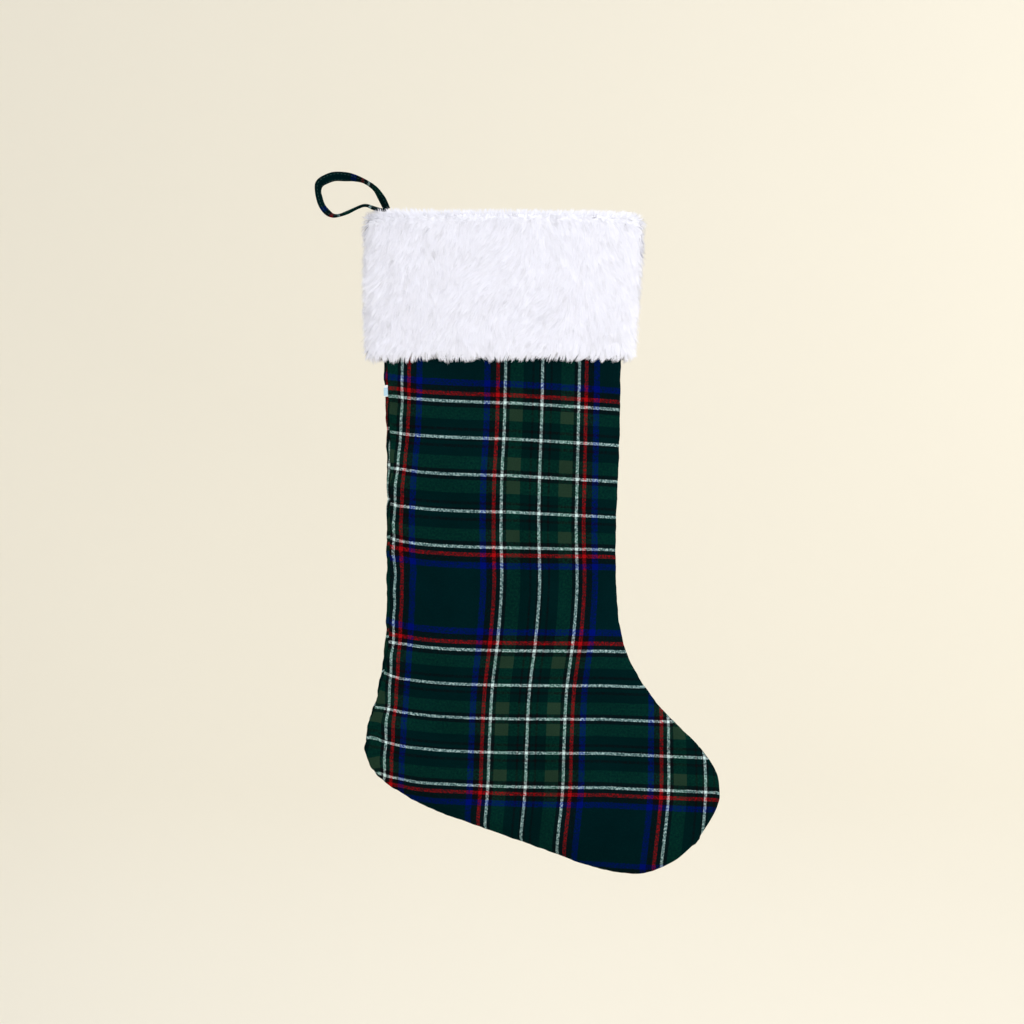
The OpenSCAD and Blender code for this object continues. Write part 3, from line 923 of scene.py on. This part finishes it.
def make_loop():
    """Hanging loop, its stitched edges, and its ends sewn inside the mouth."""
    # The strap and its sewn-in tab get a darker copy of the tartan: painted shade, the shell's own
    # cloth drawn as if it lay in shadow
    tartan = tartan_material("tartan_flannel_strap_painted_shade", 0.8)
    line, across, out = strap_frames(260)
    run = np.concatenate([[0], np.cumsum(np.linalg.norm(np.diff(line, axis=0), axis=1))])
    waver = 0.18 * np.sin(run / 5.1)[:, None] + 0.12 * np.sin(run / 2.3 + 1)[:, None]
    profile = strap_profile()
    rings = sweep(line + across * waver, across, out, profile)
    loop = tube_mesh("hanging_loop_strap", rings, strap_cloth(run, profile, STRAP_START))
    dress(loop, tartan, "loop", "hanging_loop", slot="tartan_flannel")

    thread = thread_material("thread_dark_green", (0.012, 0.055, 0.045))
    stitches = loop_stitches(line + across * waver, across, out, run)
    dress(stitches, thread, "loop", "loop_edge_stitching", slot="green_thread")
    make_loop_tab(tartan, profile)


def make_loop_tab(tartan, profile):
    """The strap's sewn-in ends, hanging straight down inside the mouth."""
    low, high = (np.array(c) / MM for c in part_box("loop_tab"))
    x = (low[0] + high[0]) / 2
    z = np.linspace(high[2], low[2], 40)
    drop = np.stack([np.full_like(z, x), 0 * z, z], -1)
    side = np.broadcast_to(np.array([[0.0, 1.0, 0.0]]), drop.shape)
    face = np.broadcast_to(np.array([[1.0, 0.0, 0.0]]), drop.shape)
    # tartan here is the strap's darker copy, with its painted shade
    tab = tube_mesh("loop_tab_strap", sweep(drop, side, face, profile),
                    strap_cloth(high[2] - z, profile, TAB_START))
    dress(tab, tartan, "stocking", "loop_tab", slot="tartan_flannel")


def loop_stitches(line, across, out, run):
    """Rows of short stitches along both edges, on both faces of the strap."""
    steps, sides = 5, 6
    lift = STRAP_T / 2 * 0.62 + 0.12 * np.sin(np.linspace(0, math.pi, steps))
    thick = STITCH_R * np.array([0.35, 0.9, 1.0, 0.9, 0.35])
    a = np.linspace(0, TURN, sides, endpoint=False)
    circle = np.stack([np.cos(a), np.sin(a)], -1)

    def along(values, t):
        return np.stack([np.interp(t, run, values[:, k]) for k in range(3)], -1)

    verts, faces = [], []
    for edge, face in ((-1, -1), (-1, 1), (1, -1), (1, 1)):
        for start in np.arange(4, run[-1] - 4, STITCH_PITCH):
            t = start + np.linspace(0, STITCH_L, steps)
            c, o = unit(along(across, t)), unit(along(out, t))
            middle = along(line, t) + edge * (STRAP_W / 2 - STITCH_INSET) * c
            middle += face * lift[:, None] * o
            faces.append(grid_faces(steps, sides, wrap=True) + len(verts) * steps * sides)
            verts.append(sweep(middle, thick[:, None] * c, thick[:, None] * o, circle))
    return mesh_object("loop_edge_stitches", np.concatenate(verts), np.concatenate(faces))


def make_label():
    """Blank ribbon folded in half and sewn into the side seam, lying over towards the front."""
    low, high = (np.array(c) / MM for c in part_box("side_label"))
    straight, rows = 10, 40
    long = LABEL_L - LABEL_FOLD_R
    turn = np.linspace(-math.pi / 2, math.pi / 2, 13)
    out = np.concatenate([np.linspace(-LABEL_SEWN, long, straight),
                          long + LABEL_FOLD_R * np.cos(turn),
                          np.linspace(long, -LABEL_SEWN, straight)])
    side = np.concatenate([np.full(straight, -LABEL_FOLD_R), LABEL_FOLD_R * np.sin(turn),
                           np.full(straight, LABEL_FOLD_R)])
    z = np.linspace(high[2], low[2], rows)
    side = side[None, :] + 0.12 * np.sin(np.linspace(0, math.pi, rows))[:, None]
    lie = math.radians(LABEL_TURN)
    x = LABEL_X - out * math.cos(lie) - side * math.sin(lie)
    y = -out * math.sin(lie) + side * math.cos(lie)
    points = np.stack(np.broadcast_arrays(x, y, z[:, None]), -1)
    uv = np.stack(np.broadcast_arrays(out[None, :], (high[2] - z)[:, None]), -1)
    piece = cloth_grid("side_label_ribbon", points, uv, LABEL_T)
    dress(piece, label_material(), "label", "side_label", slot="label_ribbon")


def dress_hidden_threads():
    """The seams' threads are right as they are and only need their finish."""
    white = thread_material("thread_white", (0.82, 0.82, 0.80))
    green = thread_material("thread_seam_green", (0.012, 0.055, 0.045))
    for name in ("lining_seam_stitching", "cuff_seam_stitching", "cuff_hem_stitching",
                 "mouth_stitching", "loop_bartack", "shell_seam_stitching"):
        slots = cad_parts[name].data.materials
        slots.clear()
        slots.append(green if name == "shell_seam_stitching" else white)


# ---------------------------------------------------------------- stage, light and camera

def paper_material():
    """Matt cream paper with a faint unevenness."""
    made, shader = new_material("stage_paper")
    n = Nodes(made)
    soft = n.noise(n.put("ShaderNodeTexCoord").outputs["Object"], 1.2, 2.0)
    n.link(n.mix(soft, (0.750, 0.708, 0.608), (0.768, 0.726, 0.625)), shader.inputs["Base Color"])
    matt(shader, 0.95, specular=0.0)
    return made


def make_stage():
    """Cream paper sweep: a floor well below the toe that curves up into a wall far behind."""
    wide, floor_z, wall_y, bend = 12000, -1500, 3000, 700
    turn = np.linspace(0, math.pi / 2, 24)
    y = np.concatenate([[-wide], wall_y - bend + bend * np.sin(turn), [wall_y]])
    z = np.concatenate([[floor_z], floor_z + bend - bend * np.cos(turn), [wide]])
    x = np.array([-wide, wide])
    points = np.stack(np.broadcast_arrays(x[None, :], y[:, None], z[:, None]), -1)
    sweep_paper = mesh_object("stage_sweep", points, grid_faces(*points.shape[:2]))
    sweep_paper.data.materials.append(paper_material())


def area_light(name, place, target, size, power, colour):
    """Square lamp, its place and size in metres and its power in watts, turned to a target."""
    data = bpy.data.lights.new(name, "AREA")
    data.size = size
    data.energy = power
    data.color = colour
    made = bpy.data.objects.new(name, data)
    made.location = place
    made.rotation_euler = (Vector(target) - Vector(place)).to_track_quat("-Z", "Y").to_euler()
    bpy.context.scene.collection.objects.link(made)


def make_light():
    """Soft white studio light, and a lamp of its own for the paper behind."""
    world = bpy.data.worlds.new("studio")
    bpy.context.scene.world = world
    world.use_nodes = True
    sky = world.node_tree.nodes["Background"]
    sky.inputs["Color"].default_value = (0.95, 0.965, 1.0, 1)
    sky.inputs["Strength"].default_value = 0.90
    middle = (0.13, 0.0, -0.25)
    area_light("key", (1.4, -1.8, 0.8), middle, 1.3, 34, (0.97, 0.98, 1.0))
    area_light("fill", (-1.7, -1.7, 0.2), middle, 1.8, 19, (0.96, 0.975, 1.0))
    area_light("behind", (0.9, 1.9, 0.9), middle, 1.4, 18, (0.98, 0.99, 1.0))
    area_light("paper", (2.8, 0.4, 1.0), (1.0, 3.0, -0.2), 1.6, 38, (1.0, 0.995, 0.98))
    bpy.context.scene.view_settings.view_transform = "Standard"


def make_camera():
    """Square on, far enough back that the stocking is drawn almost without perspective."""
    data = bpy.data.cameras.new("camera")
    data.lens = 85
    seen_width, middle_x, middle_z = 0.785, 0.1281, -0.2447
    made = bpy.data.objects.new("camera", data)
    made.location = (middle_x, -seen_width * data.lens / data.sensor_width, middle_z)
    made.rotation_euler = (math.pi / 2, 0, 0)
    bpy.context.scene.collection.objects.link(made)
    bpy.context.scene.camera = made


make_camera()
make_stage()
make_light()
make_shell()
make_lining()
make_facing()
make_cuff()
make_loop()
make_label()
dress_hidden_threads()

bpy.context.view_layer.update()
